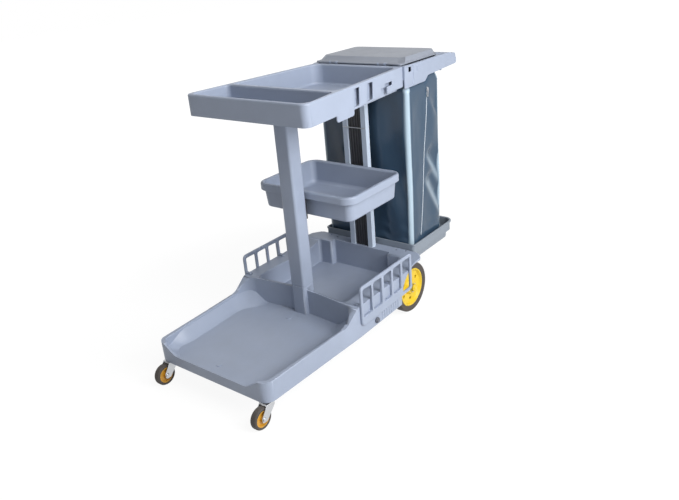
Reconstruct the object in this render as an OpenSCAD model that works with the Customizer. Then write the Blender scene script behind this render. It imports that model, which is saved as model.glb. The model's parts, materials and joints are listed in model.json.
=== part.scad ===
// Janitor cart: platform base with a bin, column, top tray, lift-out tray, bag frame with lid, wheels and casters.
// Millimetres, +Z up, +X towards the push handle, near side -Y, floor at Z = 0.

/* [Base] */
// Step from the bin side to the platform side at the front edge
platform_step = 19; // [14:1:27]
// Width across the outside of the bin
bin_w = 544; // [530:1:556]
// Width of the wheel well on each side
well_w = 66; // [62:1:72]
// Length of the base from the front lip to the rear face
base_len = 918; // [912:1:930]
// Distance from the front lip to the bin front wall
bin_x = 453; // [440:1:462]
// Depth of the bow in the bin front wall
wall_bow = 22; // [0:1:30]
// Thickness of the bin front wall
wall_t = 8; // [6:0.5:10]
// Thickness of the base shell
shell_t = 5; // [4:0.5:6]
// Radius of the front corners of the platform
platform_r = 38; // [28:1:44]
// Radius of the rear corners of the platform recess
recess_r = 52; // [40:1:92]
// Height of the platform floor above the skirt edge
platform_deep = 24; // [20:1:30]
// Height of the platform side rim above the platform floor
platform_rim_h = 49; // [40:1:56]
// Height of the dipped front lip above the platform floor
lip_h = 14; // [8:1:24]
// Thickness of the front lip
lip_t = 9; // [7:0.5:12]
// Thickness of the platform side rim
side_t = 13; // [10:0.5:16]
// Height of the bin floor above the platform floor
bin_floor_h = 10; // [8:1:16]
// Height of the bin rim above the bin floor
bin_deep = 87; // [80:1:96]
// Height of the rear cross member above the bin rim
cross_h = 17; // [16:1:22]
// Inside width of the bin at its front
bin_in_w = 432; // [424:1:440]
// Length of the rear cross member
cross_len = 52; // [50:0.5:56]
// Radius of the rear corners of the base
rear_r = 55; // [40:1:62]
// Gap between a rear wheel and its arch
arch_gap = 14; // [10:0.5:15]
// Radius of the holes in the cross member
tool_hole_r = 6; // [4:0.5:8]

/* [Column] */
// Length of the column section
column_d = 60; // [54:1:66]
// Width of the column section
column_w = 64; // [58:1:70]
// Radius of the column corners
column_r = 10; // [6:0.5:14]
// Wall of the column tube
column_t = 4; // [3:0.5:5]
// Height of the column socket above the bin rim
socket_h = 16; // [12:1:24]
// Depth of the column spigot in its socket
spigot_l = 55; // [45:1:62]

/* [Top tray] */
// Distance of the tray front edge behind the front lip
tray_x0 = 300; // [290:1:310]
// Distance of the tray rear edge in front of the base rear face
tray_back = 5; // [0:1:10]
// Width of the tray at its front
tray_front_w = 522; // [505:1:534]
// Width of the tray at its rear
tray_rear_w = 402; // [392:1:410]
// Radius of the front corners of the tray
tray_r = 26; // [16:1:34]
// Height of the tray rim above the floor
tray_z = 938; // [920:1:960]
// Depth of the front compartment
tray_deep = 61; // [54:1:66]
// Depth of the rear compartment below the front one
rear_drop = 15; // [10:1:20]
// Thickness of the tray walls
tray_t = 4; // [3:0.5:5]
// Depth of the apron below the tray floor
apron_h = 5; // [3:0.5:8]
// Width of the front and side rim
rim_w = 15; // [13:0.5:18]
// Width of the rim beside the rear compartment
rim_rear_w = 19; // [16:0.5:22]
// Length of the front compartment
front_box_l = 156; // [140:1:170]
// Width of the divider
divider_w = 20; // [16:0.5:26]
// Depth of the apron tabs
tab_h = 21; // [15:1:26]

/* [Rear frame] */
// Length of the rear frame to the end of the handle
frame_len = 384; // [370:1:396]
// Width of the rear frame
frame_w = 414; // [410:1:424]
// Thickness of the rails
rail_t = 6; // [5:0.5:8]
// Height of the rails at the tray
rail_h = 80; // [74:1:84]
// Height of the handle bar
handle_h = 34; // [28:1:38]
// Length of the handle bar section
handle_d = 36; // [30:1:38]
// Length of the bag opening
bag_hole_l = 227; // [220:1:232]
// Width of the bag opening
bag_hole_w = 379; // [374:1:382]

/* [Lid] */
// Length of the lid
lid_len = 270; // [262:1:276]
// Width of the lid
lid_w = 388; // [376:1:396]
// Thickness of the lid flange
lid_t = 5; // [4:0.5:6]
// Height of the dome above the flange
dome_h = 17; // [12:1:22]
// Slope of the dome at the hinge edge
dome_front = 24; // [16:1:30]
// Slope of the dome at its other edges
dome_side = 9; // [6:0.5:12]
// Radius of the hinge pins
pin_r = 2.5; // [2:0.1:3]

/* [Middle tray] */
// Gap between the column and the middle tray
mid_gap = 10; // [8:1:14]
// Gap between the middle tray and the posts
mid_back = 7; // [5:1:20]
// Width of the middle tray
mid_w = 437; // [415:1:445]
// Height of the middle tray rim above the floor
mid_z = 568; // [520:1:600]
// Height of the middle tray
mid_h = 96; // [86:1:104]
// Height of the rolled rim
mid_rim_h = 27; // [20:1:32]
// Width of the rolled rim
mid_rim_w = 13; // [10:0.5:15]
// Slope of the tray walls from rim to floor
mid_draft = 7; // [5:0.5:12]
// Radius of the tray corners
mid_r = 46; // [38:1:54]

/* [Posts] */
// Distance of the post centres from the base rear face
post_back = 37; // [35:0.5:39]
// Distance between the post centres
post_span = 86; // [80:1:96]
// Width of a post
post_w = 22; // [20:0.5:24]
// Radius of the wire across the posts
wire_r = 1.5; // [1:0.1:2]
// Height of the wire above the floor
wire_z = 712; // [690:1:730]

/* [Fences] */
// Distance of the fence front behind the bin front wall
fence_set = 15; // [12:1:18]
// Distance of the fence end from the base rear face
fence_back = 120; // [100:1:140]
// Height of the fence top above the bin rim
fence_h = 74; // [60:1:90]
// Height of the fence below the bin rim
fence_low = 78; // [70:1:84]
// Thickness of a fence
fence_t = 10; // [8:0.5:12]
// Width of a fence bar
bar_w = 12; // [10:0.5:15]
// Width of the top bar
top_bar_w = 14; // [12:0.5:18]
// Radius of the side bumpers
bumper_r = 11; // [9:0.5:13]
// Distance of the side bumpers in front of the wheel well
bumper_set = 171; // [160:1:180]
// Height of the side bumpers above the skirt edge
bumper_up = 20; // [18:1:22]

/* [Bag and its tray] */
// Length of the bag tray
bag_tray_len = 327; // [300:1:345]
// Width of the bag tray rim
bag_tray_w = 444; // [438:1:450]
// Height of the bag tray floor above the rear axle
bag_tray_up = 73; // [70:1:80]
// Height of the bag tray
bag_tray_h = 74; // [66:1:84]
// Radius of the rear corners of the bag tray
bag_tray_r = 38; // [30:1:48]
// Length of the bag
bag_len = 232; // [220:1:236]
// Width of the bag
bag_w = 410; // [400:1:416]
// Thickness of the bag wall
bag_t = 1.5; // [1.2:0.1:2.5]
// Distance of the zip top behind the top tray
zip_top_set = 155; // [140:1:165]
// Distance of the zip end behind the top tray
zip_end_set = 84; // [70:1:100]
// Distance of the zip top below the bag shoulder
zip_top_gap = 12; // [8:1:20]
// Distance of the zip end above the bag tray rim
zip_end_gap = 14; // [8:1:30]

/* [Wheels] */
// Diameter of the rear wheels
wheel_d = 200; // [190:1:206]
// Width of the rear wheels
wheel_w = 40; // [34:1:44]
// Distance of the rear axle from the base rear face
wheel_back = 68; // [66:1:72]
// Radius of the rear axle
axle_r = 8; // [6:0.5:9]
// Gap between the base and a rear wheel
wheel_gap = 5; // [4:0.5:7]
// Diameter of the caster wheels
caster_d = 75; // [70:1:80]
// Width of the caster wheels
caster_w = 24; // [20:0.5:26]
// Distance of the swivel axes behind the front lip
caster_x = 22; // [20:0.5:30]
// Distance of the swivel axes from the platform sides
caster_in = 25; // [24:0.5:31]
// Trail of the casters
trail = 35; // [30:0.5:38]
// Height of the skirt above the caster wheels
caster_clear = 9; // [8:0.5:14]

/* [Hidden] */
$fn = 72;
// Running clearance of pins, axles and stems
run = 0.06;
// Clearance of plugged and resting faces
fit = 0.3;

skirt_z = caster_d + caster_clear;
floor_z = skirt_z + platform_deep;
platform_z = floor_z + platform_rim_h;
bin_z = floor_z + bin_floor_h;
rim_z = bin_z + bin_deep;
cross_z = rim_z + cross_h;
socket_z = rim_z + socket_h;
platform_w = bin_w - 2 * platform_step;
caster_y = platform_w / 2 - caster_in;
rear_w = bin_w - 2 * well_w;
wheel_x = base_len - wheel_back;
post_x = base_len - post_back;
cross_x = base_len - cross_len;
pillar_x = cross_x - 24;
pillar_y = 139;
arch_r = wheel_d / 2 + arch_gap;
well_x = wheel_x - arch_r;
rear_in = rear_w / 2 - shell_t;
column_x0 = bin_x + 6;
column_x1 = column_x0 + column_d;
tray_x1 = base_len - tray_back;
tray_len = tray_x1 - tray_x0;
tray_floor = tray_z - tray_deep;
tray_under = tray_floor - 5;
rear_floor = tray_floor - rear_drop;
rear_under = tray_under - rear_drop;
apron_z = tray_under - apron_h;
box_x1 = tray_x0 + rim_w + front_box_l;
handle_x = tray_x1 + frame_len;
rail_z = tray_z - rail_h;
deck_z = tray_z - 48;
bag_x0 = tray_x1 + 21;
bag_x1 = bag_x0 + bag_hole_l;
hinge_x = tray_x1 + 2;
lid_x0 = hinge_x - 4;
lid_z = tray_z + 3;
hinge_z = lid_z + lid_t / 2;
knuckle_r = pin_r + 2.5;
knuckle_y = 110;
mid_x0 = column_x1 + mid_gap;
mid_under = mid_z - mid_rim_h;
post_y = post_span / 2;
post_front = post_x - post_w / 2;
mid_len = post_front - mid_back - mid_x0;
fence_x0 = bin_x + fence_set;
fence_len = base_len - fence_back - fence_x0;
bumper_x = well_x - bumper_set;
gap_n = 5;
gap_w = (fence_len - bar_w * (gap_n + 1)) / gap_n;
bar_pitch = gap_w + bar_w;
fence_low_z = rim_z - fence_low;
fence_top_z = rim_z + fence_h;
sill_z = fence_low_z + 33;
wheel_r = wheel_d / 2;
wheel_y = rear_w / 2 + wheel_gap;
cap_y = wheel_y + wheel_w + wheel_gap;
bag_tray_z = wheel_r + bag_tray_up;
bag_step_z = wheel_d + 4;
bag_rim_z = bag_tray_z + bag_tray_h;
bag_floor_z = bag_tray_z + 5;
bag_neck_z = rail_z - 8;
neck_r = 12;
caster_r = caster_d / 2;
wheel_axis_x = caster_x - trail;
crown_z = caster_d + 1.4;
crown_t = 3.2;
stem_r = 6;
boss_z = skirt_z + 4;
fork_in = caster_w / 2 + 2.3;
fork_t = 2.7;
x_mid = (wheel_axis_x - caster_r + handle_x) / 2;

function unit(v) = v / norm(v);
function corner(a, p, b, r, n) = let(
    u = unit(a - p),
    w = unit(b - p),
    half = acos(max(-1, min(1, u * w))) / 2,
    c = p + unit(u + w) * r / sin(half),
    s = p + u * r / tan(half),
    e = p + w * r / tan(half),
    a0 = atan2(s.y - c.y, s.x - c.x),
    a1 = atan2(e.y - c.y, e.x - c.x),
    d = ((a1 - a0 + 540) % 360) - 180)
    [for (i = [0 : n]) c + r * [cos(a0 + d * i / n), sin(a0 + d * i / n)]];
function rounded(pts, rs, n) = let(m = len(pts))
    [for (i = [0 : m - 1]) each (rs[i] <= 0 ? [pts[i]]
        : corner(pts[(i + m - 1) % m], pts[i], pts[(i + 1) % m], rs[i], n))];
function reverse(v) = [for (i = [len(v) - 1 : -1 : 0]) v[i]];
function both(pts) = concat(pts, [for (p = reverse(pts)) [p.x, -p.y]]);
function base_half(x) = platform_w / 2 + (bin_w - platform_w) / 2 * min(1, x / bin_x);
function tray_half(x) = tray_front_w / 2 + (tray_rear_w - tray_front_w) / 2 * (x - tray_x0) / tray_len;
function bow(y) = wall_bow * (1 - pow(y / (bin_in_w / 2), 2));

// Outline symmetric about the X axis, given by its near side and the radii of those corners
module plan(pts, rs, n = 6) {
    polygon(rounded(both(pts), concat(rs, reverse(rs)), n));
}

module slab(z0, z1) {
    translate([0, 0, z0])
        linear_extrude(height = z1 - z0)
            children();
}

// Solid whose XZ outline is the child, between two Y values
module wall_xz(y0, y1) {
    translate([0, y1, 0])
        rotate([90, 0, 0])
            linear_extrude(height = y1 - y0)
                children();
}

// Solid whose YZ outline is the child, between two X values
module wall_yz(x0, x1) {
    translate([x0, 0, 0])
        rotate([90, 0, 90])
            linear_extrude(height = x1 - x0)
                children();
}

module box(x0, x1, y0, y1, z0, z1) {
    translate([x0, y0, z0])
        cube([x1 - x0, y1 - y0, z1 - z0]);
}

module two_sides() {
    children();
    mirror([0, 1, 0])
        children();
}

module rod_x(x0, x1, y, z, r) {
    translate([x0, y, z])
        rotate([0, 90, 0])
            cylinder(h = x1 - x0, r = r);
}

module rod_y(x, y0, y1, z, r) {
    translate([x, y0, z])
        rotate([-90, 0, 0])
            cylinder(h = y1 - y0, r = r);
}

module rod_z(x, y, z0, z1, r) {
    translate([x, y, z0])
        cylinder(h = z1 - z0, r = r);
}

module place() {
    translate([-x_mid, 0, 0])
        children();
}

// Rectangle with rounded corners, from two opposite corners
module rect(x0, y0, x1, y1, r, n = 6) {
    polygon(rounded([[x0, y0], [x1, y0], [x1, y1], [x0, y1]], [r, r, r, r], n));
}

module base_outline(inset) {
    plan([[inset, -platform_w / 2 + inset],
          [bin_x, -bin_w / 2 + inset],
          [base_len - inset, -bin_w / 2 + inset]],
         [platform_r - inset, 0, rear_r - inset]);
}

module base_side() {
    polygon(rounded(
        [[-5, skirt_z], [base_len + 5, skirt_z], [base_len + 5, cross_z], [pillar_x, cross_z],
         [pillar_x - 50, rim_z], [bin_x + 4, rim_z], [bin_x - 60, platform_z], [-5, platform_z]],
        [0, 0, 0, 60, 60, 42, 60, 0], 8));
}

module platform_recess() {
    plan([[lip_t, -base_half(0) + side_t],
          [bin_x, -base_half(bin_x) + side_t],
          [bin_x + bow(150), -150],
          [bin_x + bow(90), -90],
          [bin_x + bow(30), -30]],
         [platform_r - 6, recess_r, 0, 0, 0]);
}

module bin_recess() {
    x0 = bin_x + wall_t;
    plan([[x0 + bow(30), -30],
          [x0 + bow(90), -90],
          [x0 + bow(150), -150],
          [x0, -bin_in_w / 2],
          [well_x - 10, -rear_in],
          [pillar_x, -rear_in],
          [pillar_x, -pillar_y],
          [cross_x, -pillar_y]],
         [0, 0, 0, 24, 0, 12, 8, 6]);
}

module base_hollows() {
    in = shell_t + 1;
    slab(skirt_z - 1, floor_z - shell_t)
        base_outline(shell_t);
    slab(skirt_z - 2, bin_z - shell_t)
        plan([[bin_x + 40, -rear_in + 4], [cross_x - shell_t, -rear_in + 4]], [10, 10]);
    slab(skirt_z - 3, cross_z - shell_t)
        plan([[cross_x + shell_t, -rear_in + 1], [base_len - in, -rear_in + 1]], [6, 9]);
    two_sides()
        slab(skirt_z - 4, rim_z - shell_t)
            polygon(rounded(
                [[bin_x + 16, bin_in_w / 2 + 6], [well_x - in, rear_in + 6],
                 [well_x - in, bin_w / 2 - in], [bin_x + 16, bin_w / 2 - in]],
                [6, 6, 6, 6], 4));
}

// Dip of the front lip between the raised corners
module lip_dip() {
    wall_yz(-6, lip_t + platform_r - 12)
        polygon(rounded(
            [[-224, platform_z + 20], [-216, platform_z - 3], [-168, floor_z + lip_h],
             [168, floor_z + lip_h], [216, platform_z - 3], [224, platform_z + 20]],
            [0, 18, 40, 40, 18, 0], 6));
}

module column_outline(inset) {
    plan([[column_x0 + inset, -column_w / 2 + inset], [column_x1 - inset, -column_w / 2 + inset]],
         [column_r - inset, column_r - inset]);
}

module clip_places() {
    for (i = [0, 3])
        translate([fence_x0 + i * bar_pitch, 0, 0])
            children();
}

module screw_holes(r) {
    for (z = [socket_z - 42, socket_z - 17])
        rod_x(column_x1 - 22, column_x1 + 1, 0, z, r);
}

module bag_tray_screw_places() {
    for (y = [-150, -60, 60, 150])
        translate([0, y, bag_tray_z + 19])
            children();
}

module base() {
    color([0.36, 0.41, 0.50])
    difference() {
        union() {
            difference() {
                intersection() {
                    slab(skirt_z, cross_z)
                        base_outline(0);
                    wall_xz(-bin_w, bin_w)
                        base_side();
                }
                slab(floor_z, cross_z + 1)
                    platform_recess();
                slab(bin_z, cross_z + 1)
                    bin_recess();
                base_hollows();
                lip_dip();
                two_sides()
                    rod_y(wheel_x, rear_w / 2, bin_w, wheel_r, arch_r);
            }
            slab(floor_z - shell_t - 1, socket_z)
                column_outline(0);
            for (y = [-120, 0, 120])
                box(lip_t, bin_x, y - 2, y + 2, floor_z - 15, floor_z - shell_t + 1);
            for (x = [110, 220, 330])
                box(x - 2, x + 2, -base_half(x) + 2, base_half(x) - 2, floor_z - 13, floor_z - shell_t + 1);
            for (y = [-post_y, post_y])
                box(cross_x + 1, post_x + post_w / 2 + 5, y - post_w / 2 - 5, y + post_w / 2 + 5,
                    cross_z - 40, cross_z - shell_t + 1);
            two_sides() {
                rod_z(caster_x, caster_y, boss_z, floor_z - shell_t + 1, 15);
                box(wheel_x - 22, wheel_x + 22, rear_in - 20, rear_in + 1, skirt_z, bin_z - shell_t + 1);
                for (i = [0 : 7])
                    box(well_x - 135 + i * 15, well_x - 131 + i * 15, bin_w / 2 - 1, bin_w / 2 + 2,
                        skirt_z + 4, fence_low_z - 4);
            }
            for (x = [56, bin_x - 42])
                rod_z(x, 14, floor_z - 1, floor_z + 1.5, 9);
        }
        slab(socket_z - spigot_l - 4, socket_z + 1)
            column_outline(shell_t);
        screw_holes(2.6);
        for (y = [-post_y, post_y])
            box(post_front - fit, post_x + post_w / 2 + fit, y - post_w / 2 - fit, y + post_w / 2 + fit,
                cross_z - 30, cross_z + 1);
        two_sides() {
            rod_z(caster_x, caster_y, boss_z - 1, floor_z - shell_t, stem_r + 0.05);
            clip_places()
                box(-1, bar_w + 1, bin_w / 2 - 23, bin_w / 2 - 15, rim_z - 24, rim_z + 1);
            for (p = [[cross_x + 31, 148], [cross_x + 41, 186]])
                rod_z(p.x, p.y, cross_z - shell_t - 2, cross_z + 1, tool_hole_r);
        }
        rod_y(wheel_x, -rear_w, rear_w, wheel_r, axle_r + 0.05);
        bag_tray_screw_places()
            rod_x(base_len - shell_t - 9, base_len + 1, 0, 0, 2.6);
    }
}

module column() {
    color([0.36, 0.41, 0.50])
    difference() {
        union() {
            slab(socket_z, rear_under)
                column_outline(0);
            slab(socket_z - spigot_l, socket_z + 1)
                column_outline(shell_t + fit);
        }
        slab(socket_z - spigot_l - 1, socket_z + 8)
            column_outline(shell_t + column_t);
        slab(socket_z + 7, rear_under - column_t)
            column_outline(column_t);
        screw_holes(2.6);
    }
}

module column_screws() {
    color([0.62, 0.63, 0.65])
    for (z = [socket_z - 42, socket_z - 17]) {
        rod_x(column_x1, column_x1 + 3, 0, z, 5);
        rod_x(column_x1 - 18, column_x1 + 1, 0, z, 2.5);
    }
}

module tray_outline(inset) {
    plan([[tray_x0 + inset, -tray_half(tray_x0) + inset], [tray_x1 - inset, -tray_half(tray_x1) + inset]],
         [tray_r - inset, 8 - inset]);
}

module front_box(grow) {
    x0 = tray_x0 + rim_w;
    plan([[x0 - grow, -tray_half(x0) + rim_w - grow], [box_x1 + grow, -tray_half(box_x1) + rim_w - grow]],
         [24 + grow, 16 + grow]);
}

module rear_box(grow) {
    x0 = box_x1 + divider_w;
    x1 = tray_x1 - 16;
    plan([[x0 - grow, -tray_half(x0) + rim_rear_w - grow], [x1 + grow, -tray_half(x1) + rim_rear_w - grow]],
         [18 + grow, 42 + grow]);
}

// Slots and recesses of one apron side, cut through the thin apron wall
module apron_slots() {
    x_slot = tray_x1 - 344;
    wall_xz(0, tray_front_w) {
        polygon(rounded([[x_slot - 7, apron_z + 4], [x_slot + 30, apron_z + 4], [x_slot + 34, tray_z - 10],
                         [x_slot + 1, tray_z - 10]], [3, 3, 3, 3], 3));
        polygon(rounded([[x_slot + 76, apron_z + 4], [x_slot + 118, apron_z + 4], [x_slot + 122, tray_z - 10],
                         [x_slot + 86, tray_z - 10]], [3, 3, 3, 3], 3));
        rect(x_slot + 205, tray_z - 47, x_slot + 258, tray_z - 34, 5, 3);
        rect(x_slot + 174, apron_z - 6, x_slot + 219, apron_z + 27, 5, 3);
    }
}

module top_tray() {
    color([0.36, 0.41, 0.50])
    difference() {
        union() {
            difference() {
                slab(apron_z, tray_z)
                    tray_outline(0);
                slab(apron_z - 1, tray_under)
                    tray_outline(tray_t);
                slab(tray_floor, tray_z + 1)
                    front_box(0);
                slab(apron_z - 2, tray_z + 1)
                    rear_box(0);
                slab(apron_z - 1, tray_z - tray_t)
                    difference() {
                        tray_outline(tray_t);
                        front_box(tray_t);
                        rear_box(tray_t);
                    }
            }
            intersection() {
                slab(apron_z - tab_h, apron_z + 6)
                    difference() {
                        tray_outline(0);
                        tray_outline(tray_t);
                    }
                wall_xz(-tray_front_w, tray_front_w)
                    rect(box_x1 - 12, apron_z - tab_h, box_x1 + 92, apron_z + 30, 10);
            }
            difference() {
                slab(rear_under, tray_under + 1)
                    rear_box(tray_t);
                slab(rear_floor, tray_z)
                    rear_box(0);
            }
            slab(rear_under, tray_under + 1)
                plan([[column_x0 - 6, -column_w / 2 - 6], [box_x1 + divider_w - 1, -column_w / 2 - 6]], [8, 0]);
            slab(rear_under - 14, rear_under + 1)
                difference() {
                    column_outline(-6);
                    column_outline(-fit);
                }
            for (y = [-post_y, post_y])
                difference() {
                    box(post_front - 5, post_x + post_w / 2 + 5, y - post_w / 2 - 5, y + post_w / 2 + 5,
                        rear_under - 14, rear_under + 1);
                    box(post_front - fit, post_x + post_w / 2 + fit, y - post_w / 2 - fit,
                        y + post_w / 2 + fit, rear_under - 15, rear_under);
                }
        }
        two_sides()
            intersection() {
                apron_slots();
                slab(apron_z - 20, tray_z)
                    difference() {
                        tray_outline(-1);
                        tray_outline(tray_t + 1);
                    }
            }
        frame_screw_places()
            rod_z(0, 0, rear_under - 1, rear_under + 4, 2.1);
    }
}

tongue_w = 96;

// Tongues of the rear frame below the top tray
module tongue_places() {
    for (y = [-120, 120])
        translate([0, y, 0])
            children();
}

module frame_screw_places() {
    for (y = [-150, -90, 90, 150])
        translate([tray_x1 - 30, y, 0])
            children();
}

module rail_side() {
    polygon(rounded(
        [[tray_x1, rail_z], [tray_x1 + 143, rail_z + 3], [tray_x1 + 163, rail_z + 22],
         [handle_x, rail_z + 31], [handle_x, rail_z + 52], [handle_x - 48, tray_z - 1], [tray_x1, tray_z]],
        [4, 10, 10, 9, 9, 26, 0], 6));
}

module lug_places() {
    for (y = [-knuckle_y - 14.3, -knuckle_y + 14.3, knuckle_y - 14.3, knuckle_y + 14.3])
        translate([0, y, 0])
            children();
}

module rear_frame() {
    half = frame_w / 2;
    color([0.36, 0.41, 0.50])
    difference() {
        union() {
            two_sides() {
                wall_xz(half - rail_t, half)
                    rail_side();
                box(bag_x0 + 64, bag_x0 + 82, half - 1, half + 2, tray_z - 29, tray_z - 12);
            }
            slab(tray_z - 5, tray_z)
                difference() {
                    plan([[tray_x1, -half + 1], [bag_x1 + 20, -half + 1]], [4, 4]);
                    plan([[bag_x0 - 5, -half + 10], [bag_x1 + 5, -half + 10]], [26, 26]);
                }
            slab(deck_z, deck_z + 6)
                difference() {
                    plan([[tray_x1, -half + 1], [bag_x1 + 20, -half + 1]], [4, 4]);
                    plan([[bag_x0, -bag_hole_w / 2], [bag_x1, -bag_hole_w / 2]], [neck_r, neck_r]);
                }
            box(tray_x1, tray_x1 + 5, -half + 1, half - 1, deck_z, tray_z);
            box(bag_x1 + 14, bag_x1 + 20, -half + 1, half - 1, deck_z - 10, tray_z);
            wall_xz(-half + 1, half - 1)
                rect(handle_x - handle_d - 4, rail_z + 39, handle_x - 4, rail_z + 39 + handle_h, handle_h / 2 - 3, 8);
            tongue_places() {
                box(tray_x1 - 48, tray_x1 + 5, -tongue_w / 2, tongue_w / 2, rear_under - 8, rear_under);
                box(tray_x1, tray_x1 + 5, -tongue_w / 2, tongue_w / 2, rear_under - 8, deck_z + 1);
            }
            lug_places() {
                box(hinge_x - 2, hinge_x + knuckle_r, -4, 4, tray_z - 1, hinge_z);
                rod_y(hinge_x, -4, 4, hinge_z, knuckle_r);
            }
        }
        two_sides() {
            box(tray_x1 + 9, tray_x1 + 62, half - 3, half + 1, rail_z + 6, tray_z - 6);
            box(tray_x1 + 32, tray_x1 + 50, half - rail_t - 1, half + 1, tray_z - 25, tray_z - 8);
        }
        rod_y(hinge_x, -half, half, hinge_z, pin_r + 0.05);
        frame_screw_places()
            rod_z(0, 0, rear_under - 9, rear_under + 1, 2.1);
    }
}

module frame_screws() {
    color([0.62, 0.63, 0.65])
    frame_screw_places() {
        rod_z(0, 0, rear_under - 11, rear_under - 8, 4.5);
        rod_z(0, 0, rear_under - 9, rear_under + 3.5, 2);
    }
}

module lid_pins() {
    color([0.62, 0.63, 0.65])
    for (y = [-knuckle_y, knuckle_y])
        rod_y(hinge_x, y - 18.3, y + 18.3, hinge_z, pin_r);
}

module lid_dome(grow, z0, z1) {
    x0 = lid_x0 + 12 - grow;
    len = lid_len - 16 + 2 * grow;
    wid = lid_w - 8 + 2 * grow;
    part = len * dome_front / (dome_front + dome_side);
    translate([x0 + part, 0, z0])
        linear_extrude(height = z1 - z0, slices = 1, $fn = 4,
                       scale = [1 - (dome_front + dome_side) / len, 1 - 2 * dome_side / wid])
            plan([[-part, -wid / 2], [len - part, -wid / 2]], [24, 24]);
}

module lid() {
    color([0.42, 0.45, 0.50])
    difference() {
        union() {
            difference() {
                slab(lid_z, lid_z + lid_t)
                    plan([[lid_x0, -lid_w / 2], [lid_x0 + lid_len, -lid_w / 2]], [12, 28]);
                for (y = [-knuckle_y, knuckle_y])
                    box(lid_x0 - 1, hinge_x + knuckle_r + 1.5, y - 19.5, y + 19.5, lid_z - 1, lid_z + lid_t + 1);
            }
            lid_dome(0, lid_z + lid_t - 0.5, lid_z + lid_t + dome_h);
            for (y = [-knuckle_y, knuckle_y]) {
                rod_y(hinge_x, y - 10, y + 10, hinge_z, knuckle_r - 0.5);
                box(hinge_x, hinge_x + knuckle_r + 2, y - 10, y + 10, lid_z, lid_z + lid_t);
            }
        }
        lid_dome(-3, lid_z - 1, lid_z + lid_t + dome_h - 3);
        for (y = [-knuckle_y, knuckle_y])
            rod_y(hinge_x, y - 12, y + 12, hinge_z, pin_r + run);
    }
}

module bag_ring() {
    color([0.25, 0.27, 0.30])
    slab(deck_z + 6, deck_z + 11)
        difference() {
            plan([[bag_x0 - 4, -bag_hole_w / 2 - 6], [bag_x1 + 4, -bag_hole_w / 2 - 6]], [26, 26]);
            plan([[bag_x0 + 4, -bag_hole_w / 2 + 6], [bag_x1 - 4, -bag_hole_w / 2 + 6]], [neck_r, neck_r]);
        }
}

module bag_outline(part, inset) {
    x0 = part == "neck" ? bag_x0 + 1.5 : bag_x0 - 4;
    x1 = part == "neck" ? bag_x1 - 1.5 : bag_x0 - 4 + bag_len;
    half = part == "neck" ? bag_hole_w / 2 - 1.5 : part == "foot" ? rear_w / 2 - 8 : bag_w / 2;
    r = part == "neck" ? neck_r : 28;
    plan([[x0 + inset, -half + inset], [x1 - inset, -half + inset]], [r, r]);
}

module bag() {
    foot_z = bag_floor_z + fit;
    step_z = bag_step_z + 8;
    color([0.22, 0.28, 0.34])
    difference() {
        union() {
            slab(foot_z, step_z + 1)
                bag_outline("foot", 0);
            slab(step_z, bag_neck_z - bag_t)
                bag_outline("body", 0);
        }
        slab(foot_z + bag_t, step_z + bag_t + 1)
            bag_outline("foot", bag_t);
        slab(step_z + bag_t, bag_neck_z)
            bag_outline("body", bag_t);
    }
}

// Shoulder and neck of the bag, sewn on below the ring
module bag_collar() {
    top_z = deck_z + 6 - fit;
    color([0.22, 0.28, 0.34])
    difference() {
        union() {
            slab(bag_neck_z - bag_t, bag_neck_z)
                bag_outline("body", 0);
            slab(bag_neck_z - 1, top_z)
                bag_outline("neck", 0);
        }
        slab(bag_neck_z - bag_t - 1, top_z + 1)
            bag_outline("neck", bag_t);
    }
}

zip_top = [tray_x1 + zip_top_set, bag_neck_z - zip_top_gap];
zip_end = [tray_x1 + zip_end_set, bag_rim_z + zip_end_gap];
zip_len = norm(zip_end - zip_top);
zip_angle = atan2(zip_top.x - zip_end.x, zip_top.y - zip_end.y);

module zip_frame() {
    translate([zip_top.x, -bag_w / 2, zip_top.y])
        rotate([0, zip_angle, 0])
            children();
}

module bag_zip() {
    color([0.60, 0.63, 0.66])
    zip_frame()
        difference() {
            box(-7, 7, -1.2, 0, -zip_len, 0);
            box(-0.8, 0.8, -2, -0.8, -zip_len - 1, 1);
        }
}

module zip_slider() {
    color([0.62, 0.63, 0.65])
    zip_frame() {
        difference() {
            box(-5, 5, -4.5, -1.2 - fit, -15, -2);
            box(-6, 6, -3.3, -2.7, -16, -12);
        }
        difference() {
            box(-3.5, 3.5, -6.7, -4.5, -36, -4);
            box(-1.8, 1.8, -8, -4.4, -33, -18);
        }
    }
}

module bag_tray_outline(half, inset) {
    x1 = base_len + bag_tray_len - (bag_tray_w / 2 - half);
    plan([[base_len + inset, -half + inset], [x1 - inset, -half + inset]], [12 - inset / 2, bag_tray_r - inset]);
}

module bag_tray() {
    rim = bag_tray_w / 2;
    tub = rear_w / 2;
    color([0.36, 0.41, 0.50])
    difference() {
        union() {
            slab(bag_tray_z, bag_step_z + 4)
                bag_tray_outline(tub, 0);
            slab(bag_step_z, bag_rim_z)
                bag_tray_outline(rim - 4, 0);
            slab(bag_rim_z - 8, bag_rim_z)
                bag_tray_outline(rim, 0);
        }
        slab(bag_floor_z, bag_rim_z + 1)
            bag_tray_outline(tub, 4);
        slab(bag_step_z + 4, bag_rim_z + 1)
            bag_tray_outline(rim - 4, 4);
        bag_tray_screw_places()
            rod_x(base_len - 1, base_len + 6, 0, 0, 2.6);
    }
}

module bag_tray_screws() {
    color([0.62, 0.63, 0.65])
    bag_tray_screw_places() {
        rod_x(base_len + 4, base_len + 6, 0, 0, 5);
        rod_x(base_len - shell_t - 8, base_len + 5, 0, 0, 2.5);
    }
}

module post() {
    difference() {
        box(post_front, post_x + post_w / 2, post_y - post_w / 2, post_y + post_w / 2, cross_z - 29.7, rear_under);
        box(post_front + 2, post_x + post_w / 2 - 2, post_y - post_w / 2 + 2, post_y + post_w / 2 - 2,
            cross_z - 31, rear_under - 4);
    }
}

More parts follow.
